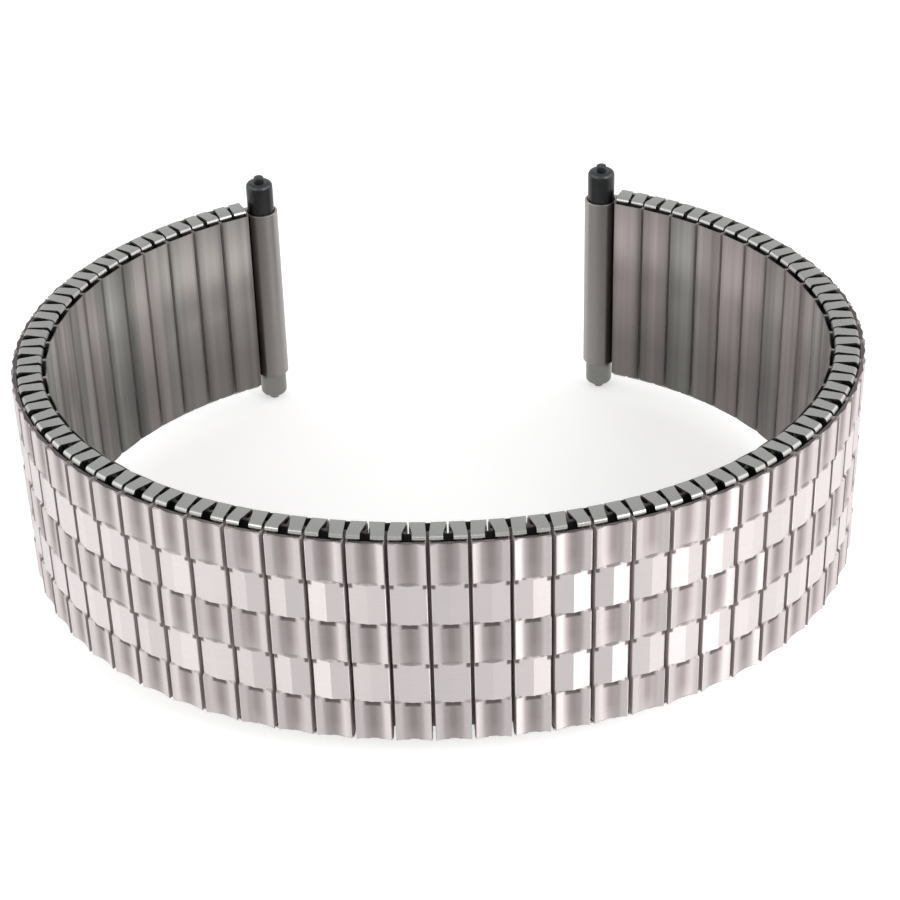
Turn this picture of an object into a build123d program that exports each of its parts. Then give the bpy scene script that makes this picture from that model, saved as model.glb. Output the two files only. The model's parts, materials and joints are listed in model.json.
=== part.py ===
from build123d import *
import math
import os

# An expansion watch band, standing on its edge in the open C that it takes at rest.
# Two rows of flat sleeves lie on each other, half a link apart. Spring-steel bows at both
# edges join each outer sleeve to the inner sleeves beside it, and a leaf spring in each
# sleeve presses the bows' legs flat. A decorative cap covers each outer sleeve.
# +X is to the right, the front of the band faces -Y and +Z is up, along the band's width.
# Lengths are in millimetres, angles in degrees.

# Whole band
outer_links_front = 7          # outer links in the middle segment
outer_links_side = (8, 8, 7)   # outer links in each segment of a side, from the front
link_pitch = 2.84              # from one inner link to the next, at the inner face
band_width = 18.0              # length of the caps, from edge to edge
rest_turns = (3.59, 5.13, 6.34, 6.71, 5.66)       # how far the band turns in one link, at rest
turn_place_shares = (0.0, 0.222, 0.444, 0.667, 0.926)  # where, along a side of the band

# Sleeves: flat tubes of thin sheet, alike in both rows
sleeve_width = 2.74
sleeve_height = 1.2
sleeve_sheet = 0.12
sleeve_corner = 0.2
sleeve_setback = 0.05          # a sleeve's end lies this far inside the caps' edge
row_gap = 0.15                 # between the two rows

# Decorative caps: five rows of facets, scooped and ridged in turn
cap_width = 2.72
cap_plate = 0.09               # sheet under the lowest part of the pattern
cap_relief = 0.24
cap_rows = 5

# Connecting bows: U-shaped strips, two legs each
bow_strip = 0.2
bow_bridge_width = 1.15
bow_leg_width = 0.72
bow_proud = 0.45               # how far a bow stands out past the caps' edge
bow_leg_length = 5.8
bow_bend = 0.34                # outer radius of its two bends
bow_shoulder = 0.12            # height of the wide bridge's lower edge above the caps' edge
outer_leg_clearance = 0.03     # between the outer leg and the wall that it lies against
inner_leg_clearance = 0.24     # the inner leg's, which leaves it room to tilt

# Leaf springs: bowed strips between the bows' legs and the sleeve's wall
leaf_sheet = 0.1
leaf_width = 1.9
leaf_end_recess = 1.0          # a leaf spring's end lies this far inside the caps' edge
leaf_clearance = 0.04

# End links: half an outer link and the tube that holds the telescopic bar
tube_radius = 1.5
tube_bore_radius = 1.27
tube_setback = 0.5             # the tube's end lies this far inside the caps' edge
tube_gap = 0.28                # between the last inner link and the tube
end_cover = 0.35               # thickness of the end link's outer wall
end_leaf_width = 0.8

# Telescopic bar: two tips with nibs, and the coil spring between them
tip_clearance = 0.05           # radial, in the tube's bore
tip_length = 8.4
tip_edge = 0.4
nib_radius = 0.45
nib_length = 0.5
nib_edge = 0.12
upper_tip_reach = 2.4          # of the upper tip's shoulder above the caps' edge
lower_tip_reach = 1.95         # of the lower tip's shoulder below the caps' edge
coil_wire_radius = 0.13
coil_radius = 0.8              # to the middle of the wire
coil_turns = 7
coil_clearance = 0.02

overrun = 0.5                  # how far a cutting shape runs past what it cuts

# Depths, from the inner face outwards
outer_row = sleeve_height + row_gap
cap_seat = outer_row + sleeve_height
cap_floor = cap_seat + cap_plate
band_thickness = cap_floor + cap_relief
inner_leg_depth = sleeve_sheet + inner_leg_clearance + bow_strip / 2
outer_leg_depth = cap_seat - sleeve_sheet - outer_leg_clearance - bow_strip / 2
tube_depth = tube_radius

links_on_side = (outer_links_front - 1) / 2 + sum(outer_links_side)
end_link_place = links_on_side + 1
tube_offset = tube_gap + tube_radius - (link_pitch - sleeve_width) / 2
tube_length = band_width - 2 * tube_setback
tip_radius = tube_bore_radius - tip_clearance
band_bottom = lower_tip_reach + nib_length
middle_height = band_bottom + band_width / 2


def turn_in_one_link(place):
    """How far the band turns in a link that lies this many links from the front."""
    share = min(place / (links_on_side + 1), turn_place_shares[-1])
    for i in range(len(rest_turns) - 1):
        low, high = turn_place_shares[i], turn_place_shares[i + 1]
        if share <= high:
            return rest_turns[i] + (rest_turns[i + 1] - rest_turns[i]) * (share - low) / (high - low)
    return rest_turns[-1]


def heading(place):
    """Direction of the band, in degrees, this many links to the right of the front."""
    quarters = round(4 * place)
    return sum(turn_in_one_link((i + 0.5) / 4) / 4 for i in range(quarters))


def along(degrees, distance):
    return distance * math.cos(math.radians(degrees)), distance * math.sin(math.radians(degrees))


# Where the inner links meet, from the front to the right end, with the front at zero
meeting_points = [(0.0, 0.0)]
for link in range(int(end_link_place)):
    step_x, step_y = along(heading(link + 0.5), link_pitch)
    meeting_points.append((meeting_points[-1][0] + step_x, meeting_points[-1][1] + step_y))


def point_on_band(place, forward=0.0, outward=0.0):
    """A point forward and outward of a place on the right side, and the heading there."""
    nearest = math.floor(place + 0.49)
    turned = heading(place)
    start_x, start_y = meeting_points[nearest]
    on_x, on_y = along(turned, (place - nearest) * link_pitch + forward)
    out_x, out_y = along(turned - 90, outward)
    return start_x + on_x + out_x, start_y + on_y + out_y, turned


tube_y = point_on_band(end_link_place, tube_offset, tube_depth)[1]
middle_y = (tube_y + tube_radius - band_thickness) / 2


def station(place, forward=0.0, outward=0.0):
    """Frame at a place, which is negative on the left side: X along the band and -Y outwards."""
    side = -1 if place < 0 else 1
    x, y, turned = point_on_band(abs(place), side * forward, outward)
    turned = side * turned
    origin = (side * x, y - middle_y, middle_height)
    direction = (math.cos(math.radians(turned)), math.sin(math.radians(turned)), 0)
    return Location(Plane(origin=origin, x_dir=direction, z_dir=(0, 0, 1)))


# Decorative cap, with its outer face to -Y: scoops with proud edges, ridges with a proud middle
row_length = band_width / cap_rows
with BuildPart() as cap:
    for row in range(cap_rows):
        scooped = row % 2 == 0
        edge_depth = band_thickness if scooped else cap_floor
        middle_depth = cap_floor if scooped else band_thickness
        left_edge = (-cap_width / 2, -edge_depth)
        middle = (0, -middle_depth)
        right_edge = (cap_width / 2, -edge_depth)
        with BuildSketch(Plane.XY.offset(row * row_length - band_width / 2)):
            with BuildLine():
                if scooped:
                    ThreePointArc(left_edge, middle, right_edge)
                else:
                    Polyline(left_edge, middle, right_edge)
                Polyline(right_edge, (cap_width / 2, -cap_seat), (-cap_width / 2, -cap_seat), left_edge)
            make_face()
        extrude(amount=row_length)

# Sleeve, with its inner face at zero
sleeve_length = band_width - 2 * sleeve_setback
with BuildPart() as sleeve:
    with BuildSketch(Plane.XY.offset(-sleeve_length / 2)):
        with Locations((0, -sleeve_height / 2)):
            RectangleRounded(sleeve_width, sleeve_height, sleeve_corner)
            RectangleRounded(sleeve_width - 2 * sleeve_sheet, sleeve_height - 2 * sleeve_sheet,
                             sleeve_corner - sleeve_sheet, mode=Mode.SUBTRACT)
    extrude(amount=sleeve_length)

# Upper and lower bow of one station, cut from one closed loop of strip
bow_height = band_width + 2 * bow_proud
bow_span = outer_leg_depth - inner_leg_depth
bridge_edge = band_width / 2 + bow_shoulder
leg_gap = bow_height - 2 * bow_leg_length
leg_side = (bow_bridge_width - bow_leg_width) / 2
with BuildPart() as bow_pair:
    with BuildSketch(Plane.YZ):
        with Locations((-(outer_leg_depth + inner_leg_depth) / 2, 0)):
            RectangleRounded(bow_span + bow_strip, bow_height, bow_bend)
            RectangleRounded(bow_span - bow_strip, bow_height - 2 * bow_strip,
                             bow_bend - bow_strip, mode=Mode.SUBTRACT)
    extrude(amount=bow_bridge_width / 2, both=True)
    with Locations((-(bow_leg_width + leg_side + overrun) / 2, 0, 0),
                   ((bow_leg_width + leg_side + overrun) / 2, 0, 0)):
        Box(leg_side + overrun, 2 * band_thickness, 2 * bridge_edge, mode=Mode.SUBTRACT)
    Box(bow_bridge_width + overrun, 2 * band_thickness, leg_gap, mode=Mode.SUBTRACT)


def leaf_spring(wall_depth, leg_depth, width):
    """A bowed strip whose middle bears on the sleeve's wall and whose ends bear on the legs."""
    outwards = 1 if leg_depth > wall_depth else -1
    low = wall_depth + outwards * leaf_clearance
    high = leg_depth - outwards * leaf_clearance
    back = outwards * leaf_sheet
    end = band_width / 2 - leaf_end_recess
    with BuildPart() as spring:
        with BuildSketch(Plane.YZ):
            with BuildLine():
                ThreePointArc((-(high - back), -end), (-low, 0), (-(high - back), end))
                Line((-(high - back), end), (-high, end))
                ThreePointArc((-high, end), (-(low + back), 0), (-high, -end))
                Line((-high, -end), (-(high - back), -end))
            make_face()
        extrude(amount=width / 2, both=True)
    return spring


inner_wall = sleeve_height - sleeve_sheet
outer_wall = outer_row + sleeve_sheet
inner_leaf = leaf_spring(inner_wall, inner_leg_depth + bow_strip / 2, leaf_width)
outer_leaf = leaf_spring(outer_wall, outer_leg_depth - bow_strip / 2, leaf_width)
end_leaf = leaf_spring(outer_wall, outer_leg_depth - bow_strip / 2, end_leaf_width)

# End link of the right side: a half-width outer sleeve with its cover, and the tube beside it
pocket_left = -sleeve_width / 2 + sleeve_sheet
pocket_right = pocket_left + bow_leg_width + 2 * sleeve_sheet
pocket_outer = band_thickness - end_cover
with BuildPart() as right_end_link:
    with BuildSketch(Plane.XY.offset(-sleeve_length / 2)):
        with Locations((-sleeve_width / 2, -outer_row)):
            Rectangle(tube_offset + sleeve_width / 2 - tube_radius, band_thickness - outer_row,
                      align=(Align.MIN, Align.MAX))
    extrude(amount=sleeve_length)
    with BuildSketch(Plane.XY.offset(-tube_length / 2)):
        with Locations((tube_offset, -tube_depth)):
            Circle(tube_radius)
        with Locations((pocket_right, -outer_row)):
            Rectangle(tube_offset - pocket_right, band_thickness - outer_row, align=(Align.MIN, Align.MAX))
    extrude(amount=tube_length)
    with BuildSketch():
        with Locations((tube_offset, -tube_depth)):
            Circle(tube_bore_radius)
        with Locations(((pocket_left + pocket_right) / 2, -(outer_wall + pocket_outer) / 2)):
            Rectangle(pocket_right - pocket_left, pocket_outer - outer_wall)
    extrude(amount=band_width / 2 + overrun, both=True, mode=Mode.SUBTRACT)

with BuildPart() as left_end_link:
    add(right_end_link.part)
    mirror(about=Plane.YZ, mode=Mode.REPLACE)
end_links = {"left": left_end_link, "right": right_end_link}

# The tip points up from zero, where its shoulder is
with BuildPart() as tip:
    with BuildSketch(Plane.XY.offset(-tip_length)):
        Circle(tip_radius)
    extrude(amount=tip_length)
    fillet(tip.edges().filter_by(GeomType.CIRCLE).sort_by(Axis.Z)[-1], tip_edge)
    with BuildSketch():
        Circle(nib_radius)
    extrude(amount=nib_length)
    fillet(tip.edges().filter_by(GeomType.CIRCLE).sort_by(Axis.Z)[-1], nib_edge)

# Coil spring, from the lower tip's inner end to the upper tip's
coil_floor = -band_width / 2 - lower_tip_reach + tip_length + coil_clearance
coil_ceiling = band_width / 2 + upper_tip_reach - tip_length - coil_clearance
coil_height = coil_ceiling - coil_floor - 2 * coil_wire_radius
coil_pitch = coil_height / coil_turns
with BuildPart() as coil:
    with BuildLine():
        turns = Helix(pitch=coil_pitch, height=coil_height, radius=coil_radius)
    with BuildSketch(Plane(origin=turns @ 0, z_dir=turns % 0)):
        Circle(coil_wire_radius)
    sweep()


def write(label, *groups):
    """Write one node, from groups of a piece and the stations that hold a copy of it."""
    with BuildPart() as copies:
        for piece, stations in groups:
            with Locations(*stations):
                add(piece.part)
    copies.part.label = label
    export_step(copies.part, f"parts/{label}.step")


def segment(name, outer_places, inner_places, bow_places):
    """The pieces of one segment, whose links move as one."""
    outer = [station(place) for place in outer_places]
    inner = [station(place) for place in inner_places]
    outer_sleeves = [station(place, outward=outer_row) for place in outer_places]
    write(f"outer_caps_{name}", (cap, outer))
    write(f"sleeves_{name}", (sleeve, inner + outer_sleeves))
    write(f"bows_{name}", (bow_pair, [station(place) for place in bow_places]))
    write(f"leaf_springs_{name}", (outer_leaf, outer), (inner_leaf, inner))


os.makedirs("parts", exist_ok=True)

# Middle segment, from one junction's bows to the other's
reach = (outer_links_front - 1) // 2
outer_places = list(range(-reach, reach + 1))
inner_places = [place + 0.5 for place in range(-reach, reach)]
bow_places = [place + 0.25 for place in outer_places[:-1]]
bow_places += [place - 0.25 for place in outer_places[1:]]
segment("front", outer_places, inner_places, bow_places)

for side, sign in (("left", -1), ("right", 1)):
    last_place = reach
    for number, count in enumerate(outer_links_side, start=1):
        # The junction's inner link, and the bows that tilt as the band stretches
        junction = sign * (last_place + 0.5)
        write(f"junction_sleeve_{side}_{number}", (sleeve, [station(junction)]))
        write(f"junction_spring_{side}_{number}", (inner_leaf, [station(junction)]))
        write(f"tilting_bows_{side}_{number}", (bow_pair, [station(sign * (last_place + 0.25))]))

        first_place = last_place + 1
        last_place = last_place + count
        at_end = number == len(outer_links_side)
        outer_places = [sign * place for place in range(first_place, last_place + 1)]
        inner_places = [sign * (place + 0.5) for place in range(first_place, last_place + at_end)]
        bow_places = [sign * (place - 0.25) for place in range(first_place, last_place + 1 + at_end)]
        bow_places += [sign * (place + 0.25) for place in range(first_place, last_place + at_end)]
        segment(f"{side}_{number}", outer_places, inner_places, bow_places)

    # End link with its telescopic bar
    end_station = station(sign * end_link_place)
    tube_station = station(sign * end_link_place, sign * tube_offset, tube_depth)
    leaf_middle = Location((sign * (pocket_left + pocket_right) / 2, 0, 0))
    upper_shoulder = Location((0, 0, band_width / 2 + upper_tip_reach))
    lower_shoulder = Location((0, 0, -band_width / 2 - lower_tip_reach), (180, 0, 0))
    coil_start = Location((0, 0, coil_floor + coil_wire_radius))
    write(f"end_link_{side}", (end_links[side], [end_station]))
    write(f"end_leaf_spring_{side}", (end_leaf, [end_station * leaf_middle]))
    write(f"upper_tip_{side}", (tip, [tube_station * upper_shoulder]))
    write(f"lower_tip_{side}", (tip, [tube_station * lower_shoulder]))
    write(f"coil_spring_{side}", (coil, [tube_station * coil_start]))
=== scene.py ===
import json
import math
import random

import bmesh
import bpy
import numpy as np
from bpy.props import FloatProperty, FloatVectorProperty, IntProperty, PointerProperty
from mathutils import Matrix, Vector

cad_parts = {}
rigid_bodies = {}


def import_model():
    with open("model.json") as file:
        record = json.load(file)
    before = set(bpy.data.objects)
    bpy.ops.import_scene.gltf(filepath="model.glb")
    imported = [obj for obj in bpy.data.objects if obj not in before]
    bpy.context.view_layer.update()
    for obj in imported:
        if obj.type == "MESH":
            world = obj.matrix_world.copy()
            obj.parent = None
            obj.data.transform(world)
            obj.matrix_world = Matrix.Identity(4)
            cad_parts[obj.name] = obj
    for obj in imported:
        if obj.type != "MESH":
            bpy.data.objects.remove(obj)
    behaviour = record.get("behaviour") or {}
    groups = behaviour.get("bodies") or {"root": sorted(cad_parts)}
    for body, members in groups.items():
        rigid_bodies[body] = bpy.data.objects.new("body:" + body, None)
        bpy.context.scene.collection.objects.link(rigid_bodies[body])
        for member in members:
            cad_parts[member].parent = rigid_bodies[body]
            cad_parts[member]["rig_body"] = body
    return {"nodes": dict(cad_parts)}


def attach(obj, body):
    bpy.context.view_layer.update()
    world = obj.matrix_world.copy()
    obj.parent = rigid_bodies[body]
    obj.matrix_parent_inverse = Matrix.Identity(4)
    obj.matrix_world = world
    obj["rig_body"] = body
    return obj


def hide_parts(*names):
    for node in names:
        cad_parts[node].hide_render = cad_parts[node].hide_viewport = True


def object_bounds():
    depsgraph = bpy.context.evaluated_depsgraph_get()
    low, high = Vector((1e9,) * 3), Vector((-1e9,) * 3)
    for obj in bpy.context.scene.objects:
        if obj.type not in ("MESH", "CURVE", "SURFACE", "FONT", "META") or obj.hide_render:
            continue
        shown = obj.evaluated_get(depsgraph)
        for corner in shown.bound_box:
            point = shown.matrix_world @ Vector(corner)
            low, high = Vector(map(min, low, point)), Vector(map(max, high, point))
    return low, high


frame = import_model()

bl_info = {
    "name": "Expansion Band Dressing",
    "version": (1, 0, 0),
    "blender": (4, 5, 0),
    "location": "View3D > Sidebar > Band",
    "description": "Models and finishes the pieces of an expansion watch band around its frame",
    "category": "Object",
}

# Lengths are in metres and angles in radians, as in Blender
MM = 0.001
# Near black, the dark end of the brush lines and the painted shade inside the sleeves
NEAR_BLACK = (0.02, 0.02, 0.02, 1.0)
# How fine each pattern is along X, Y and Z, in brush lines or clouds per metre
CAP_LINES = (500, 500, 9000)
SLEEVE_LINES = (5000, 5000, 60)
BOW_LINES = (4000, 4000, 4000)
SPRING_LINES = (3000, 3000, 600)
TIP_LINES = (900, 900, 12000)
SLEEVE_CLOUDS = (150, 150, 8)
cad_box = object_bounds()


# Reading the frame

def solids_of(node):
    """The triangles of each separate solid in a CAD node, as arrays of three corners each."""
    mesh = frame["nodes"][node].data
    mesh.calc_loop_triangles()
    points = np.empty(len(mesh.vertices) * 3)
    mesh.vertices.foreach_get("co", points)
    points = points.reshape(-1, 3)
    triangles = np.empty(len(mesh.loop_triangles) * 3, int)
    mesh.loop_triangles.foreach_get("vertices", triangles)
    triangles = triangles.reshape(-1, 3)
    weld = 0.001 * MM
    welded = np.unique(np.round(points / weld), axis=0, return_inverse=True)[1].reshape(-1)
    ends = welded[triangles]
    label = np.arange(welded.max() + 1)
    while True:
        lowest = label[ends].min(axis=1)
        spread = label.copy()
        for corner in range(3):
            np.minimum.at(spread, ends[:, corner], lowest)
        if (spread == label).all():
            break
        label = spread
    owner = label[ends[:, 0]]
    return [points[triangles[owner == name]] for name in np.unique(owner)]


def stand_of(solid):
    """A matrix with a solid's middle and turn, X along the band and -Y outwards, and the solid's size."""
    cross = np.cross(solid[:, 1] - solid[:, 0], solid[:, 2] - solid[:, 0])
    area = np.linalg.norm(cross, axis=1)
    upright = np.abs(cross[:, 2]) < 0.1 * area
    angle = np.arctan2(cross[:, 1], cross[:, 0]) % math.pi
    # The angles fall into bins of a quarter degree, over half a turn
    bin_count = 720
    bins = np.round(np.degrees(angle) * 4).astype(int) % bin_count
    weight = np.bincount(bins[upright], area[upright], bin_count)
    widest = upright & (bins == weight.argmax())
    facing = cross[widest][:, :2]
    facing = facing * np.sign(facing @ facing[0])[:, None]
    outward = facing.sum(axis=0) / np.linalg.norm(facing.sum(axis=0))
    points = solid.reshape(-1, 3)
    if outward @ points[:, :2].mean(axis=0) < 0:
        outward = -outward
    axes = np.array([[-outward[1], outward[0], 0], [-outward[0], -outward[1], 0], [0, 0, 1]])
    local = points @ axes.T
    low, high = local.min(axis=0), local.max(axis=0)
    middle = (low + high) / 2 @ axes
    turn = Matrix(axes.T.tolist()).to_4x4()
    return Matrix.Translation(middle) @ turn, Vector(high - low)


def body_of(node):
    return frame["nodes"][node]["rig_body"]


def nodes_named(*starts):
    return sorted(name for name in frame["nodes"] if name.startswith(starts))


band_middle = (cad_box[0] + cad_box[1]) / 2


# Modelling by hand, in edit mode

def begin(add, extent, place=(0, 0, 0), **settings):
    """Adds a primitive of unit size, opens it in edit mode, and gives it its size and place there."""
    bpy.ops.object.select_all(action="DESELECT")
    add(**settings)
    bpy.ops.object.mode_set(mode="EDIT")
    bpy.ops.transform.resize(value=extent)
    bpy.ops.transform.translate(value=place)
    return bpy.context.active_object


def choose(test, kind="verts"):
    """Selects the vertices, edges or faces whose middle passes a test."""
    bpy.ops.mesh.select_mode(type={"verts": "VERT", "edges": "EDGE", "faces": "FACE"}[kind])
    bpy.ops.mesh.select_all(action="DESELECT")
    mesh = bmesh.from_edit_mesh(bpy.context.active_object.data)
    for item in getattr(mesh, kind):
        corners = [item] if kind == "verts" else item.verts
        middle = sum((corner.co for corner in corners), Vector()) / len(corners)
        item.select_set(test(middle, item))
    mesh.select_flush_mode()
    bmesh.update_edit_mesh(bpy.context.active_object.data)


def cut(place, along):
    """Cuts right through the mesh with a plane."""
    bpy.ops.mesh.select_all(action="SELECT")
    bpy.ops.mesh.bisect(plane_co=place, plane_no=along, threshold=0.0001 * MM)


def move(step):
    bpy.ops.transform.translate(value=step)


def extrude(step):
    bpy.ops.mesh.extrude_region_move(TRANSFORM_OT_translate={"value": step})


def use(obj, kind, **settings):
    """Adds a modifier to a piece and applies it."""
    modifier = obj.modifiers.new(kind.title(), kind)
    for name, value in settings.items():
        setattr(modifier, name, value)
    bpy.context.view_layer.objects.active = obj
    bpy.ops.object.modifier_apply(modifier=modifier.name)


def smooth(obj, angle=math.radians(30)):
    bpy.ops.object.select_all(action="DESELECT")
    obj.select_set(True)
    bpy.context.view_layer.objects.active = obj
    bpy.ops.object.shade_smooth_by_angle(angle=angle)
    return obj


def end_modelling(obj, angle=math.radians(30)):
    """Closes edit mode, with faces that point outwards and are smooth up to an angle."""
    bpy.ops.mesh.select_all(action="SELECT")
    bpy.ops.mesh.remove_doubles(threshold=0.0005 * MM)
    bpy.ops.mesh.normals_make_consistent(inside=False)
    bpy.ops.object.mode_set(mode="OBJECT")
    return smooth(obj, angle)


def turned(profile, sides=48):
    """A closed turned piece, from the radius and height of each step of its profile, from the bottom up."""
    (radius, height), *steps = profile
    piece = begin(bpy.ops.mesh.primitive_circle_add, (radius, radius, 1), (0, 0, height), radius=1,
                  vertices=sides, fill_type="NGON")
    for next_radius, next_height in steps:
        extrude((0, 0, next_height - height))
        bpy.ops.transform.resize(value=(next_radius / radius, next_radius / radius, 1))
        radius, height = next_radius, next_height
    return end_modelling(piece)


def rounded(radius, height, bend, steps=4):
    """The steps of a profile that rounds off a turned piece's upper edge."""
    angles = [math.pi / 2 * step / steps for step in range(steps + 1)]
    return [(radius - bend * (1 - math.cos(angle)), height - bend * (1 - math.sin(angle)))
            for angle in angles]


def map_across(obj, size):
    """A UV map that runs from 0 to 1 along the band and up its width, on every copy of a piece."""
    layer = obj.data.uv_layers.active or obj.data.uv_layers.new(name="UVMap")
    for loop in obj.data.loops:
        x, _, z = obj.data.vertices[loop.vertex_index].co
        layer.data[loop.index].uv = (x / size.x + 0.5, z / size.z + 0.5)


def note_depth(obj, size):
    """An attribute that runs from -0.5 on the outer side to 0.5 on the wrist's side."""
    depth = obj.data.attributes.new("depth", "FLOAT", "POINT")
    depth.data.foreach_set("value", [vertex.co.y / size.y for vertex in obj.data.vertices])


def dress(name, nodes, finish, pick):
    """Puts a copy of a model in the place of every solid of some CAD nodes, one joined piece for each node.

    name is how the nodes' names begin. pick takes the matrix of a solid, and gives the model and its matrix.
    """
    for node in nodes:
        copies = []
        for solid in solids_of(node):
            model, stand = pick(stand_of(solid)[0])
            copy = bpy.data.objects.new(name, model.data.copy())
            copy.data.transform(stand)
            tone = copy.data.attributes.new("tone", "FLOAT", "POINT")
            shade = random.uniform(-1, 1)
            tone.data.foreach_set("value", [shade] * len(copy.data.vertices))
            bpy.context.scene.collection.objects.link(copy)
            copies.append(copy)
        bpy.ops.object.select_all(action="DESELECT")
        for copy in copies:
            copy.select_set(True)
        bpy.context.view_layer.objects.active = copies[0]
        if len(copies) > 1:
            bpy.ops.object.join()
        piece = copies[0]
        piece.name = node.replace(name, f"dressed_{name}")
        settle(piece, node, finish)


def settle(piece, node, finish):
    """Lets a piece stand for a CAD node, with its finish."""
    piece.data.materials.clear()
    piece.data.materials.append(finish)
    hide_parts(node)
    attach(piece, body_of(node))


# Finishes

class Value:
    """A number or colour that varies over a surface. Sums and products on it add their Math nodes."""

    def __init__(self, graph, socket):
        self.graph = graph
        self.socket = socket

    def math(self, operation, first, second):
        return self.graph.node("ShaderNodeMath", {"operation": operation}, {0: first, 1: second})

    def __add__(self, other):
        return self.math("ADD", self, other)

    __radd__ = __add__

    def __sub__(self, other):
        return self.math("SUBTRACT", self, other)

    def __rsub__(self, other):
        return self.math("SUBTRACT", other, self)

    def __mul__(self, other):
        return self.math("MULTIPLY", self, other)

    __rmul__ = __mul__

    def __mod__(self, other):
        return self.math("MODULO", self, other)

    def __abs__(self):
        return self.math("ABSOLUTE", self, 0.0)

    def __floor__(self):
        return self.math("FLOOR", self, 0.0)


class Graph:
    """The node tree of a material or of the world."""

    def __init__(self, tree):
        self.tree = tree
        tree.nodes.clear()

    def node(self, kind, settings=None, inputs=None, output=0):
        """Adds a node, makes its settings, joins or sets its inputs, and returns one output."""
        node = self.tree.nodes.new(kind)
        for name, value in (settings or {}).items():
            setattr(node, name, value)
        for name, value in (inputs or {}).items():
            if isinstance(value, Value):
                self.tree.links.new(value.socket, node.inputs[name])
            else:
                node.inputs[name].default_value = value
        if len(node.outputs) == 0:
            return None
        return Value(self, node.outputs[output])

    def place(self, scale):
        """Coordinates on the piece, stretched to the scale of a pattern."""
        start = self.node("ShaderNodeTexCoord", output="Object")
        return self.node("ShaderNodeMapping", {}, {"Vector": start, "Scale": scale})

    def noise(self, where, detail=3.0, roughness=0.6):
        return self.node("ShaderNodeTexNoise", {}, {"Vector": where, "Scale": 1.0, "Detail": detail,
                                                    "Roughness": roughness})

    def blend(self, factor, first, second):
        """The first colour, or the second one where the factor is 1."""
        inputs = {"Factor": factor, 6: first, 7: second}
        return self.node("ShaderNodeMix", {"data_type": "RGBA"}, inputs, output=2)

    def range(self, value, low, high, start=0.0, end=1.0):
        """Runs from start to end while the value runs from low to high."""
        return self.node("ShaderNodeMapRange", {}, {"Value": value, 1: low, 2: high, 3: start, 4: end})

    def across(self):
        """How far a point lies along the band and up its width, each from 0 to 1 on a piece."""
        where = self.node("ShaderNodeTexCoord", output="UV")
        parts = self.node("ShaderNodeSeparateXYZ", {}, {0: where}).socket.node.outputs
        return Value(self, parts["X"]), Value(self, parts["Y"])

    def attribute(self, name):
        return self.node("ShaderNodeAttribute", {"attribute_name": name}, output="Fac")


def new_finish(name):
    material = bpy.data.materials.new(name)
    material.use_nodes = True
    return material, Graph(material.node_tree)


def close_finish(graph, shade, roughness, strokes, depth, anisotropic, metallic=1.0):
    """Joins a steel's colour, roughness and brush strokes of some depth to its shader."""
    normal = graph.node("ShaderNodeBump", {}, {"Strength": 0.1, "Distance": depth, "Height": strokes})
    shader = graph.node("ShaderNodeBsdfPrincipled", {}, {
        "Base Color": shade, "Metallic": metallic, "Roughness": roughness, "Normal": normal,
        "Anisotropic": anisotropic, "Anisotropic Rotation": 0.25})
    graph.node("ShaderNodeOutputMaterial", {}, {"Surface": shader})


def stroke_roughness(graph, strokes, roughness, spread=0.1):
    """A roughness that the brush strokes raise and lower by a share of it."""
    return graph.range(strokes, 0.3, 0.7, roughness * (1 - spread), roughness * (1 + spread))


def brushed(graph, light, lines, contrast):
    """A colour with fine brush lines in it, and those lines."""
    strokes = graph.noise(graph.place(lines))
    return graph.blend(graph.range(strokes, 0.3, 0.7, 1.0 - contrast, 1.0), NEAR_BLACK, light), strokes


def plain_steel(name, light, roughness, lines, contrast):
    """Steel with fine brush lines along one direction."""
    material, graph = new_finish(name)
    shade, strokes = brushed(graph, light, lines, contrast)
    close_finish(graph, shade, stroke_roughness(graph, strokes, roughness), strokes, 0.004 * MM, 0.0)
    return material


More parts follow.
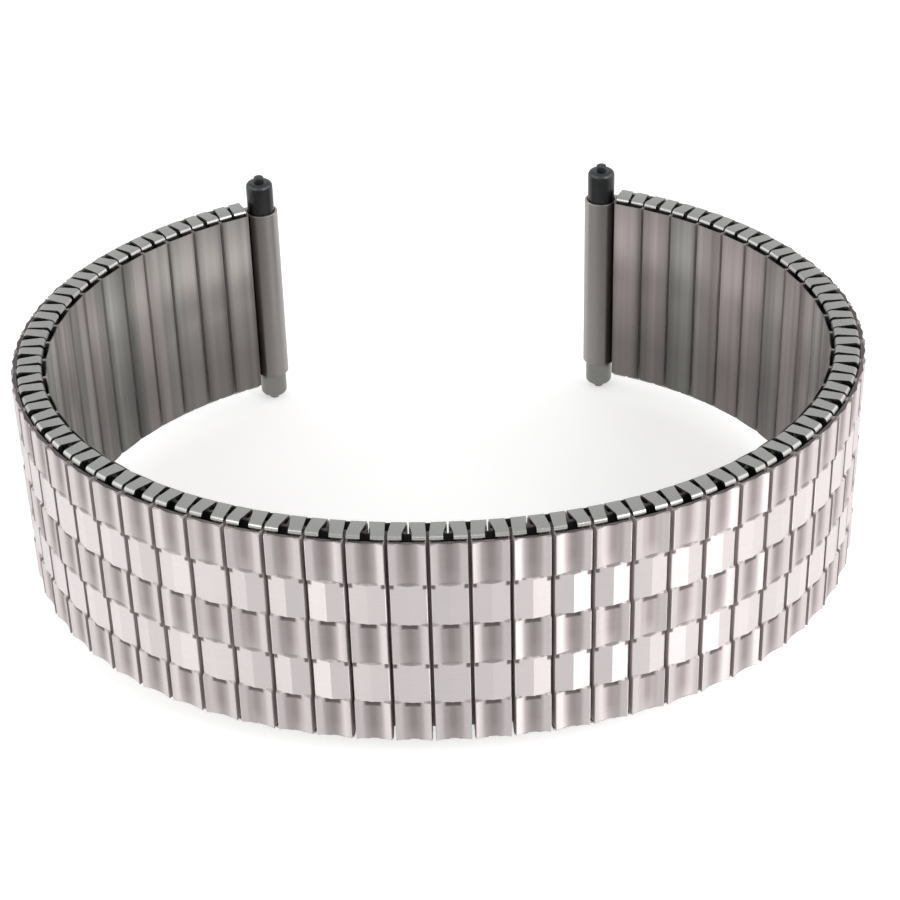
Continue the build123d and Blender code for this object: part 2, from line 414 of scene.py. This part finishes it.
def cap_steel(sizes, finish):
    """The caps' steel: satin ridges, scoops with a darker middle, painted shade under proud edges, on the
    ends and on the row steps, and dust in the gaps.
    """
    material, graph = new_finish("Cap steel")
    along, up = graph.across()
    # From 0 in a cap's middle to 1 at its sides, and from 0 to 1 up each row
    aside = abs(along - 0.5) * 2.0
    rows = up * float(sizes.cap_rows)
    row = math.floor(rows)
    height = rows - row
    scooped = 1.0 - row % 2.0
    # How much deeper a point lies than the row above, as a share of the relief
    deeper = (1.0 - aside * aside - aside) * (scooped * 2.0 - 1.0)
    last_row = 1.0 - 1.0 / sizes.cap_rows
    covered = graph.range(up, last_row - 0.01, last_row + 0.01, 1.0, 0.0)
    # Painted shade lies under the row above where that stands proud, and on the cap's two ends
    shade_under_edges = graph.range(deeper, 0.25, 0.5) * graph.range(height, 0.86, 0.9) * covered
    shade_under_edges = shade_under_edges + graph.range(abs(up - 0.5), 0.499, 0.4995)
    # Painted shade on the upward slopes where a row steps out, dimming their highlight
    slope = graph.range(deeper, 0.0, 0.1) * graph.range(height, 0.03, 0.02)
    slope = slope + graph.range(deeper, 0.0, -0.1) * graph.range(height, 0.97, 0.98)
    dust = graph.range(aside, 0.98, 0.995)
    hollow = graph.range(aside, 0.1, 0.65, 1.0, 0.0) * graph.range(height, 0.0, 0.4, 0.6, 1.0) * scooped
    light = graph.blend(scooped, finish.ridge_colour, finish.flank_colour)
    light = graph.blend(hollow, light, finish.scoop_colour)
    light = graph.blend(slope, light, finish.slope_shade_colour)
    light = graph.blend(shade_under_edges, light, finish.under_edge_shade_colour)
    strokes = graph.noise(graph.place(CAP_LINES))
    brightness = graph.range(strokes, 0.3, 0.7, 0.93, 1.0)
    brightness = brightness * graph.range(graph.attribute("tone"), -1.0, 1.0, 0.95, 1.0)
    shade = graph.blend(dust, graph.blend(brightness, NEAR_BLACK, light), finish.dust_colour)
    rough = hollow * finish.scoop_roughness + finish.cap_roughness
    rough = stroke_roughness(graph, strokes, 1.0, 0.05) * rough
    close_finish(graph, shade, rough, strokes, 0.004 * MM, 1.0, metallic=1.0 - dust)
    return material


def sleeve_steel(finish):
    """The sleeves' steel: uneven brushed stripes on the wrist's side with painted shade towards the gaps,
    dust on the others, and painted shade inside.
    """
    material, graph = new_finish("Sleeve steel")
    along, _ = graph.across()
    tone = graph.attribute("tone")
    start = graph.node("ShaderNodeCombineXYZ", {}, {"X": along * 1.6 + tone * 7.0, "Y": tone * 3.0})
    stripe = graph.noise(start, detail=2.0, roughness=0.5)
    clouds = graph.noise(graph.place(SLEEVE_CLOUDS), detail=1.0, roughness=0.55)
    strokes = graph.noise(graph.place(SLEEVE_LINES))
    # Random stripes, with painted shade darkening each sleeve towards the gaps
    brightness = graph.range(stripe, 0.35, 0.65, 0.55, 1.2) * graph.range(abs(along - 0.5), 0.3, 0.5, 1.0, 0.7)
    brightness = brightness * graph.range(strokes, 0.3, 0.7, 0.92, 1.0)
    tinted = graph.blend(graph.range(clouds, 0.4, 0.6), finish.sleeve_colour, finish.sleeve_tint)
    wrist_side = graph.range(graph.attribute("depth"), 0.3, 0.4)
    shade = graph.blend(wrist_side, finish.dust_colour, graph.blend(brightness, NEAR_BLACK, tinted))
    # Painted shade: the sheet's inner side is near black
    shade = graph.blend(graph.attribute("inside"), shade, NEAR_BLACK)
    rough = stroke_roughness(graph, strokes, finish.sleeve_roughness)
    close_finish(graph, shade, rough, strokes, 0.003 * MM, 0.4, metallic=wrist_side)
    return material


def end_steel(finish):
    """The end links' steel, with painted shade in the groove between the tube and the last inner link."""
    material, graph = new_finish("End steel")
    along, _ = graph.across()
    wrist_side = graph.range(graph.attribute("depth"), -0.2, 0.1)
    # Painted shade on the tube's half that faces the last inner link, and in the groove beside it
    groove = graph.range(along, 0.4, 0.9, 1.0, 0.0) * wrist_side
    light, strokes = brushed(graph, finish.end_colour, SLEEVE_LINES, 0.12)
    shade = graph.blend(groove, light, finish.groove_shade_colour)
    rough = stroke_roughness(graph, strokes, finish.end_roughness)
    close_finish(graph, shade, rough, strokes, 0.003 * MM, 0.7)
    return material


# Sizes and colours that a user would change

def length(name, description, default):
    return FloatProperty(name=name, description=description, default=default, min=0.0, unit="LENGTH",
                         precision=5)


def colour(name, description, default):
    return FloatVectorProperty(name=name, description=description, default=(*default, 1.0), size=4,
                               subtype="COLOR", min=0.0, max=1.0)


def share(name, description, default):
    return FloatProperty(name=name, description=description, default=default, min=0.0, max=1.0,
                         subtype="FACTOR")


class BandSizes(bpy.types.PropertyGroup):
    """Sizes of the modelled pieces that the frame doesn't give."""

    cap_relief: length("Cap Relief", "Depth of the caps' pattern", 0.24 * MM)
    cap_edge: length("Cap Edge", "Width of the caps' rounded edges", 0.06 * MM)
    cap_step: length("Cap Step", "Height of the slope between two rows", 0.14 * MM)
    cap_rows: IntProperty(name="Cap Rows", description="Rows of facets on a cap", default=5, min=1)
    sleeve_corner: length("Sleeve Corner", "Outer radius of a sleeve's corners", 0.2 * MM)
    sleeve_sheet: length("Sleeve Sheet", "Thickness of the sleeves' sheet", 0.12 * MM)
    sleeve_crown: length("Sleeve Crown", "How far a sleeve's wrist side is domed", 0.04 * MM)
    bow_strip: length("Bow Strip", "Thickness of the bows' strip", 0.2 * MM)
    bow_bend: length("Bow Bend", "Outer radius of the bows' bends", 0.34 * MM)
    bow_leg_width: length("Bow Leg Width", "Width of the legs inside the sleeves", 0.72 * MM)
    bow_shoulder: length("Bow Shoulder", "Distance of the bridge's lower edge from its top", 0.33 * MM)
    bow_spread: length("Bow Spread", "How far a bow's outer end leans away from its outer link", 0.13 * MM)
    bow_taper: length("Bow Taper", "How much narrower each side of a bow's outer end is", 0.07 * MM)
    bow_draw: length("Bow Draw", "How far a bow's inner end leans towards its outer link", 0.06 * MM)
    end_half: length("End Half", "Width of the end link's half of an outer link", 1.6 * MM)
    end_front: length("End Front", "From the tube's middle to the end link's outer face", 1.38 * MM)
    end_rear: length("End Rear", "From the tube's middle to the end link's inner wall", 0.15 * MM)
    tube_setback: length("Tube Setback", "How much shorter the tube is at each end", 0.45 * MM)
    tube_bore: length("Tube Bore", "Radius of the tube's bore", 1.27 * MM)
    tube_rim: length("Tube Rim", "Width of the tube's bevelled rims", 0.06 * MM)
    pocket_width: length("Pocket Width", "Width of the pocket for the bows' legs", 0.96 * MM)
    pocket_height: length("Pocket Height", "Height of the pocket for the bows' legs", 1.06 * MM)
    pocket_wall: length("Pocket Wall", "Thickness of the walls beside the pocket", 0.12 * MM)
    pocket_depth: length("Pocket Depth", "How deep the pocket reaches", 6.5 * MM)
    tip_bend: length("Tip Bend", "Rounding of the tips' shoulders", 0.45 * MM)
    nib_radius: length("Nib Radius", "Radius of the tips' nibs", 0.45 * MM)
    nib_length: length("Nib Length", "Length of the tips' nibs", 0.5 * MM)
    nib_bend: length("Nib Bend", "Rounding of the nibs' ends", 0.12 * MM)


class BandFinish(bpy.types.PropertyGroup):
    """Colours and roughness of the steels."""

    ridge_colour: colour("Ridge Colour", "Steel of the caps' ridges", (0.644, 0.6, 0.6))
    flank_colour: colour("Flank Colour", "Steel at the sides of the caps' scoops", (0.594, 0.549, 0.549))
    scoop_colour: colour("Scoop Colour", "Brushed steel in the middle of the scoops", (0.342, 0.302, 0.302))
    # Painted shade on the slopes where a row steps out, dimming their highlight
    slope_shade_colour: colour("Slope Shade Colour", "Worn steel where a row steps out", (0.45, 0.414, 0.414))
    # Painted shade under the caps' proud edges and on their ends
    under_edge_shade_colour: colour("Under Edge Shade Colour", "Grime under the proud edges", (0.16, 0.135, 0.135))
    dust_colour: colour("Dust Colour", "Dust in the gaps between the links", (0.38, 0.33, 0.33))
    cap_roughness: share("Cap Roughness", "Roughness of the caps", 0.45)
    scoop_roughness: share("Scoop Roughness", "What the scoops' middles add to the caps' roughness", 0.35)
    sleeve_colour: colour("Sleeve Colour", "Steel of the sleeves on the wrist's side", (0.286, 0.252, 0.248))
    sleeve_tint: colour("Sleeve Tint", "What that steel's colour drifts to in places", (0.252, 0.252, 0.235))
    sleeve_roughness: share("Sleeve Roughness", "Roughness of the plain sleeves", 0.6)
    bow_colour: colour("Bow Colour", "Spring steel of the bows", (0.336, 0.336, 0.324))
    bow_roughness: share("Bow Roughness", "Roughness of the bows", 0.27)
    spring_roughness: share("Spring Roughness", "Roughness of the leaf and coil springs", 0.35)
    spring_colour: colour("Spring Colour", "Steel of the leaf and coil springs", (0.35, 0.35, 0.345))
    end_colour: colour("End Colour", "Steel of the end links", (0.324, 0.306, 0.297))
    end_roughness: share("End Roughness", "Roughness of the end links", 0.36)
    # Painted shade in the groove beside the tubes
    groove_shade_colour: colour("Groove Shade Colour", "Dull steel in the groove beside the tubes", (0.17, 0.157, 0.149))
    # Painted reflection: the upper tips are darkened for the dark surroundings they mirror from above
    upper_tip_reflection_colour: colour("Upper Tip Reflection Colour", "Dark steel of the upper tips", (0.052, 0.054, 0.056))
    lower_tip_colour: colour("Lower Tip Colour", "Grey steel of the lower tips", (0.216, 0.216, 0.204))
    tip_roughness: share("Tip Roughness", "Roughness of the tips", 0.35)


class BandStudio(bpy.types.PropertyGroup):
    """Camera, floor and lamps."""

    camera_place: FloatVectorProperty(name="Camera Place", description="Where the camera stands",
                                      default=(-0.00171, -0.16149, 0.11245), unit="LENGTH", precision=5)
    camera_aim: FloatVectorProperty(name="Camera Aim", description="The point that the camera looks at",
                                    default=(0.00077, 0.00418, 0.00762), unit="LENGTH", precision=5)
    camera_roll: FloatProperty(name="Camera Roll", description="How far the picture turns anticlockwise",
                               default=math.radians(1.586), unit="ROTATION")
    lens: FloatProperty(name="Lens", description="Focal length on a 36 mm sensor", default=90.57,
                        unit="CAMERA")
    floor_width: length("Floor Width", "Width of the floor, which ends where the lamps' light does", 0.56)
    floor_colour: colour("Floor Colour", "The pale floor and backdrop", (0.93, 0.93, 0.93))
    floor_glow: share("Floor Glow", "What is added to the floor where it is seen or mirrored", 0.36)
    sky_level: share("Sky Level", "Strength of the even light from all around", 0.55)


# Pieces

class BAND_OT_dress_caps(bpy.types.Operator):
    """Models a cap with its rows of scoops and ridges, and puts one on every outer link"""

    bl_idname = "band.dress_caps"
    bl_label = "Dress Caps"

    def execute(self, context):
        sizes = context.scene.band_sizes
        nodes = nodes_named("outer_caps")
        size = stand_of(solids_of(nodes[0])[0])[1]
        cap = self.model(sizes, size)
        map_across(cap, size)
        steel = cap_steel(sizes, context.scene.band_finish)
        dress("outer_caps", nodes, steel, lambda stand: (cap, stand))
        bpy.data.objects.remove(cap)
        return {"FINISHED"}

    def model(self, sizes, size):
        half, top, front = size.x / 2, size.z / 2, -size.y / 2
        edge = sizes.cap_edge
        slack = 0.2 * edge
        row_length = size.z / sizes.cap_rows
        columns = [half * reach for reach in (0.0, 0.2, 0.4, 0.6, 0.8)] + [half - edge]
        piece = begin(bpy.ops.mesh.primitive_cube_add, size, size=1)
        for column in columns:
            for x in {column, -column}:
                cut((x, 0, 0), (1, 0, 0))
        for row in range(1, sizes.cap_rows):
            for side in (-1, 1):
                cut((0, 0, row * row_length - top + side * sizes.cap_step / 2), (0, 0, 1))
        for z in (edge - top, top - edge):
            cut((0, 0, z), (0, 0, 1))
        for ridged in (False, True):
            for x in columns + [half]:
                reach = x / half
                sunk = sizes.cap_relief * (reach if ridged else 1 - reach ** 2)
                if x == half:
                    sunk += edge / 2
                choose(lambda at, item: abs(at.y - front) < slack and abs(abs(at.x) - x) < slack
                       and (int((at.z + top) / row_length) % 2 == 1) == ridged)
                if sunk:
                    move((0, sunk, 0))
        choose(lambda at, item: abs(abs(at.z) - top) < slack and at.y < size.y / 2 - slack)
        move((0, edge / 2, 0))
        return end_modelling(piece, math.radians(15))


class BAND_OT_dress_sleeves(bpy.types.Operator):
    """Models a flat tube of thin sheet, and puts one in the place of every sleeve of both rows"""

    bl_idname = "band.dress_sleeves"
    bl_label = "Dress Sleeves"

    def execute(self, context):
        sizes = context.scene.band_sizes
        size = stand_of(solids_of("junction_sleeve_left_1")[0])[1]
        steel = sleeve_steel(context.scene.band_finish)
        sleeve = self.model(sizes, size)
        map_across(sleeve, size)
        note_depth(sleeve, size)
        self.note_inside(sleeve, sizes, size)
        for name in ("sleeves", "junction_sleeve"):
            dress(name, nodes_named(name), steel, lambda stand: (sleeve, stand))
        bpy.data.objects.remove(sleeve)
        return {"FINISHED"}

    def model(self, sizes, size):
        half, back = size.x / 2, size.y / 2
        piece = begin(bpy.ops.mesh.primitive_cube_add, size, size=1)
        choose(lambda at, item: abs(at.z) < 0.01 * size.z, "edges")
        bpy.ops.mesh.bevel(offset=sizes.sleeve_corner, segments=3)
        choose(lambda at, item: abs(item.normal.z) > 0.9, "faces")
        bpy.ops.mesh.delete(type="FACE")
        columns = [reach * half for reach in (0.0, 0.3, 0.6)]
        for column in columns:
            for x in {column, -column}:
                cut((x, 0, 0), (1, 0, 0))
        choose(lambda at, item: at.y > back - sizes.sleeve_corner)
        move((0, -sizes.sleeve_crown, 0))
        for column in columns:
            choose(lambda at, item: at.y > 0 and abs(abs(at.x) - column) < 0.01 * half)
            move((0, sizes.sleeve_crown * (1 - (column / half) ** 2), 0))
        end_modelling(piece)
        use(piece, "SOLIDIFY", thickness=sizes.sleeve_sheet, offset=-1.0, use_even_offset=True)
        return piece

    def note_inside(self, sleeve, sizes, size):
        """An attribute that is 1 on the inner side of the sheet, where the sleeve steel paints shade."""
        depth = 0.75 * sizes.sleeve_sheet
        inside = sleeve.data.attributes.new("inside", "FLOAT", "POINT")
        inside.data.foreach_set("value", [
            float(abs(vertex.co.x) < size.x / 2 - depth and abs(vertex.co.y) < size.y / 2 - depth)
            for vertex in sleeve.data.vertices])


class BAND_OT_dress_bows(bpy.types.Operator):
    """Models a bow from a strip with two bends, and puts one in the place of every bow"""

    bl_idname = "band.dress_bows"
    bl_label = "Dress Bows"

    def execute(self, context):
        sizes = context.scene.band_sizes
        finish = context.scene.band_finish
        nodes = nodes_named("bows")
        size = stand_of(solids_of(nodes[0])[0])[1]
        steel = plain_steel("Bow steel", finish.bow_colour, finish.bow_roughness, BOW_LINES, 0.08)
        # The outer link that a bow belongs to lies towards -X or +X
        bows = {side: self.model(sizes, size, side) for side in (-1, 1)}
        caps = [stand_of(solid)[0].translation
                for node in nodes_named("outer_caps") for solid in solids_of(node)]
        for name in ("bows", "tilting_bows"):
            dress(name, nodes_named(name), steel, lambda stand: self.pick(stand, bows, caps))
        for bow in bows.values():
            bpy.data.objects.remove(bow)
        return {"FINISHED"}

    def pick(self, stand, bows, caps):
        """The bow that leans the right way, turned over at the band's lower edge."""
        upper = stand.translation.z > band_middle.z
        place = stand.translation.xy
        nearest = min(caps, key=lambda cap: (cap.xy - place).length)
        side = 1 if (nearest.xy - place) @ stand.col[0].xy > 0 else -1
        if not upper:
            stand = stand @ Matrix.Rotation(math.pi, 4, "Y")
            side = -side
        return bows[side], stand

    def model(self, sizes, size, side):
        strip, bend, top = sizes.bow_strip, sizes.bow_bend, size.z / 2
        shoulder = top - sizes.bow_shoulder
        bend_start = top - bend
        outer = size.y / 2 - bend
        widening = size.x / sizes.bow_leg_width
        piece = begin(bpy.ops.mesh.primitive_plane_add, (sizes.bow_leg_width, strip, 1),
                      (0, size.y / 2 - strip / 2, -top), size=1)
        extrude((0, 0, bend_start + top))
        extrude((0, 0, shoulder - bend_start))
        bpy.ops.transform.resize(value=(widening, 1, 1))
        move((0, 0, bend_start - shoulder))
        quarter = {"steps": 4, "angle": math.pi / 2, "axis": (-1, 0, 0)}
        bpy.ops.mesh.spin(center=(0, outer, bend_start), **quarter)
        extrude((0, -2 * outer, 0))
        bpy.ops.mesh.spin(center=(0, -outer, bend_start), **quarter)
        extrude((0, 0, -strip / 4))
        bpy.ops.transform.resize(value=(1 / widening, 1, 1))
        extrude((0, 0, strip / 4 - top - bend_start))
        choose(lambda at, item: at.y < 0)
        bpy.ops.transform.resize(value=(1 - 2 * sizes.bow_taper / size.x, 1, 1), center_override=(0, 0, 0))
        move((-side * sizes.bow_spread, 0, 0))
        choose(lambda at, item: at.y > 0)
        move((side * sizes.bow_draw, 0, 0))
        return end_modelling(piece)


class BAND_OT_finish_springs(bpy.types.Operator):
    """Gives the leaf springs and coil springs their steel"""

    bl_idname = "band.finish_springs"
    bl_label = "Finish Springs"

    def execute(self, context):
        finish = context.scene.band_finish
        steel = plain_steel("Spring steel", finish.spring_colour, finish.spring_roughness, SPRING_LINES, 0.15)
        for name in nodes_named("leaf_springs", "junction_spring", "end_leaf_spring", "coil_spring"):
            node = frame["nodes"][name]
            node.data.materials.clear()
            node.data.materials.append(steel)
        return {"FINISHED"}


class BAND_OT_dress_end_links(bpy.types.Operator):
    """Models the end link, half an outer link with a tube, and puts one at each end"""

    bl_idname = "band.dress_end_links"
    bl_label = "Dress End Links"

    def execute(self, context):
        sizes = context.scene.band_sizes
        steel = end_steel(context.scene.band_finish)
        size = stand_of(solids_of("end_link_right")[0])[1]
        right = self.model(sizes, size)
        map_across(right, size)
        note_depth(right, size)
        left = bpy.data.objects.new("left", right.data.copy())
        left.data.transform(Matrix.Scale(-1, 4, (1, 0, 0)))
        left.data.flip_normals()
        for name, model in (("left", left), ("right", right)):
            dress("end_link", [f"end_link_{name}"], steel, lambda stand: (model, stand))
            bpy.data.objects.remove(model)
        return {"FINISHED"}

    def model(self, sizes, size):
        radius, top = size.y / 2, size.z / 2
        tube_x = size.x / 2 - radius
        tube_top = top - sizes.tube_setback
        rim, bore = sizes.tube_rim, sizes.tube_bore
        tube = turned([(radius - rim, -tube_top), (radius, rim - tube_top), (radius, tube_top - rim),
                       (radius - rim, tube_top)], sides=64)
        hole = turned([(bore + rim, -tube_top - rim), (bore, rim - tube_top), (bore, tube_top - rim),
                       (bore + rim, tube_top + rim)], sides=64)
        for part in (tube, hole):
            part.data.transform(Matrix.Translation((tube_x, 0, 0)))
        half_link = self.half_link(sizes, -size.x / 2, tube_x, top, tube_top - rim)
        use(tube, "BOOLEAN", operation="UNION", object=half_link, solver="EXACT")
        use(tube, "BOOLEAN", operation="DIFFERENCE", object=hole, solver="EXACT")
        bpy.data.objects.remove(half_link)
        bpy.data.objects.remove(hole)
        return smooth(tube)

    def half_link(self, sizes, left, right, top, joined_top):
        """The block between the bows' pocket and the tube, whose side at the tube is shorter."""
        edge = left + sizes.end_half
        pocket = (left + sizes.pocket_wall, left + sizes.pocket_wall + sizes.pocket_width)
        floor = (sizes.end_rear - sizes.pocket_wall - sizes.pocket_height, sizes.end_rear - sizes.pocket_wall)
        block = (right - left, sizes.end_front + sizes.end_rear, 2 * joined_top)
        middle = ((left + right) / 2, (sizes.end_rear - sizes.end_front) / 2, 0)
        piece = begin(bpy.ops.mesh.primitive_cube_add, block, middle, size=1)
        for x in (*pocket, edge):
            cut((x, 0, 0), (1, 0, 0))
        for y in floor:
            cut((0, y, 0), (0, 1, 0))
        for side in (-1, 1):
            slack = 0.1 * sizes.pocket_wall
            choose(lambda at, item: abs(at.z - side * joined_top) < slack and at.x < edge, "faces")
            extrude((0, 0, side * (top - joined_top)))
            choose(lambda at, item: abs(at.z - side * top) < slack and pocket[0] < at.x < pocket[1]
                   and floor[0] < at.y < floor[1], "faces")
            extrude((0, 0, -side * sizes.pocket_depth))
        end_modelling(piece)
        use(piece, "BEVEL", width=0.3 * sizes.pocket_wall, segments=2, limit_method="ANGLE",
            angle_limit=math.radians(60))
        return piece


class BAND_OT_dress_tips(bpy.types.Operator):
    """Models a turned tip with its nib, and puts one at each end of both telescopic bars"""

    bl_idname = "band.dress_tips"
    bl_label = "Dress Tips"

    def execute(self, context):
        sizes = context.scene.band_sizes
        finish = context.scene.band_finish
        size = stand_of(solids_of("upper_tip_left")[0])[1]
        tip = self.model(sizes, size)
        turn = Matrix.Rotation(math.pi, 4, "Y")
        # The upper tips' dark colour is a painted reflection; the lower tips keep plain grey steel
        for name, shade in (("upper_tip", finish.upper_tip_reflection_colour), ("lower_tip", finish.lower_tip_colour)):
            title = name.replace("_", " ").title()
            steel = plain_steel(title, shade, finish.tip_roughness, TIP_LINES, 0.12)
            lower = name == "lower_tip"
            dress(name, nodes_named(name), steel,
                  lambda stand: (tip, stand @ turn if lower else stand))
        bpy.data.objects.remove(tip)
        return {"FINISHED"}

    def model(self, sizes, size):
        radius, top = size.x / 2, size.z / 2
        shoulder = top - sizes.nib_length
        return turned([(radius - sizes.tip_bend, -top), (radius, sizes.tip_bend - top),
                       *rounded(radius, shoulder, sizes.tip_bend), (sizes.nib_radius, shoulder),
                       *rounded(sizes.nib_radius, top, sizes.nib_bend)])


# The place, size, power in watts and tint of each softbox
LAMPS = {
    "Front softbox": ((0.0, -0.28, 0.2), (0.06, 0.16), 0.05, (1.0, 0.93, 0.93)),
    "Left front softbox": ((-0.19, -0.2, 0.16), (0.06, 0.16), 0.16, (1.0, 0.98, 0.96)),
    "Right front softbox": ((0.2, -0.2, 0.15), (0.1, 0.18), 0.4, (1.0, 0.97, 0.965)),
    "Left softbox": ((-0.3, 0, 0.14), (0.4, 0.25), 0.42, (0.99, 1.0, 0.99)),
    "Right softbox": ((0.3, 0, 0.14), (0.4, 0.25), 0.47, (1.0, 0.965, 0.97)),
}


class BAND_OT_set_stage(bpy.types.Operator):
    """Sets the floor, the lamps, the world and the camera"""

    bl_idname = "band.set_stage"
    bl_label = "Set Stage"

    def execute(self, context):
        studio = context.scene.band_studio
        self.floor(studio)
        self.world(context.scene, studio.sky_level)
        for name, settings in LAMPS.items():
            self.lamp(context.scene, name, *settings)
        self.camera(context.scene, studio)
        context.scene.view_settings.view_transform = "Standard"
        return {"FINISHED"}

    def floor(self, studio):
        bpy.ops.object.select_all(action="DESELECT")
        bpy.ops.mesh.primitive_plane_add(size=studio.floor_width, location=(0, 0, cad_box[0].z))
        floor = bpy.context.active_object
        floor.name = "floor"
        material, graph = new_finish("Pale floor")
        lit = graph.node("ShaderNodeBsdfPrincipled", {}, {
            "Base Color": studio.floor_colour, "Roughness": 0.9, "Specular IOR Level": 0.1})
        glow = graph.node("ShaderNodeEmission", {}, {"Strength": self.seen(graph) * studio.floor_glow})
        shader = graph.node("ShaderNodeAddShader", {}, {0: lit, 1: glow})
        graph.node("ShaderNodeOutputMaterial", {}, {"Surface": shader})
        floor.data.materials.append(material)

    def seen(self, graph):
        """1 for a ray from the camera, or from metal or glass that mirrors it, and otherwise 0."""
        unseen = 1.0
        for kind in ("Camera", "Glossy", "Transmission"):
            unseen = (1.0 - graph.node("ShaderNodeLightPath", output=f"Is {kind} Ray")) * unseen
        return 1.0 - unseen

    def world(self, scene, level):
        world = bpy.data.worlds.new("Studio")
        world.use_nodes = True
        scene.world = world
        graph = Graph(world.node_tree)
        strength = self.seen(graph) * (1.0 - level) + level
        light = graph.node("ShaderNodeBackground", {}, {"Color": (1, 1, 1, 1), "Strength": strength})
        graph.node("ShaderNodeOutputWorld", {}, {"Surface": light})

    def lamp(self, scene, name, place, size, power, tint):
        data = bpy.data.lights.new(name, "AREA")
        data.shape = "RECTANGLE"
        data.size, data.size_y = size
        data.energy = power
        data.color = tint
        lamp = bpy.data.objects.new(name, data)
        lamp.location = place
        lamp.visible_camera = False
        lamp.rotation_euler = (band_middle - Vector(place)).to_track_quat("-Z", "Y").to_euler()
        scene.collection.objects.link(lamp)

    def camera(self, scene, studio):
        data = bpy.data.cameras.new("Camera")
        data.lens = studio.lens
        data.sensor_width = 36
        data.clip_start, data.clip_end = 0.01, 20
        camera = bpy.data.objects.new("Camera", data)
        place, aim = Vector(studio.camera_place), Vector(studio.camera_aim)
        camera.location = place
        look = (aim - place).to_track_quat("-Z", "Y").to_matrix()
        camera.rotation_euler = (look @ Matrix.Rotation(-studio.camera_roll, 3, "Z")).to_euler()
        scene.collection.objects.link(camera)
        scene.camera = camera


class BAND_PT_panel(bpy.types.Panel):
    """Lists the steps in the 3D view's sidebar"""

    bl_idname = "BAND_PT_panel"
    bl_label = "Expansion Band"
    bl_space_type = "VIEW_3D"
    bl_region_type = "UI"
    bl_category = "Band"

    def draw(self, context):
        for group in (context.scene.band_sizes, context.scene.band_finish, context.scene.band_studio):
            for name in group.__annotations__:
                self.layout.prop(group, name)
        for operator in OPERATORS:
            self.layout.operator(operator.bl_idname)


GROUPS = {"band_sizes": BandSizes, "band_finish": BandFinish, "band_studio": BandStudio}
OPERATORS = (BAND_OT_dress_caps, BAND_OT_dress_sleeves, BAND_OT_dress_bows, BAND_OT_finish_springs,
             BAND_OT_dress_end_links, BAND_OT_dress_tips, BAND_OT_set_stage)


def register():
    for kind in (*GROUPS.values(), *OPERATORS, BAND_PT_panel):
        bpy.utils.register_class(kind)
    for name, kind in GROUPS.items():
        setattr(bpy.types.Scene, name, PointerProperty(type=kind))


def unregister():
    for name in GROUPS:
        delattr(bpy.types.Scene, name)
    for kind in (BAND_PT_panel, *reversed(OPERATORS), *GROUPS.values()):
        bpy.utils.unregister_class(kind)


def main():
    random.seed(11)
    register()
    bpy.ops.band.dress_caps()
    bpy.ops.band.dress_sleeves()
    bpy.ops.band.dress_bows()
    bpy.ops.band.finish_springs()
    bpy.ops.band.dress_end_links()
    bpy.ops.band.dress_tips()
    bpy.ops.band.set_stage()


if __name__ == "__main__":
    main()
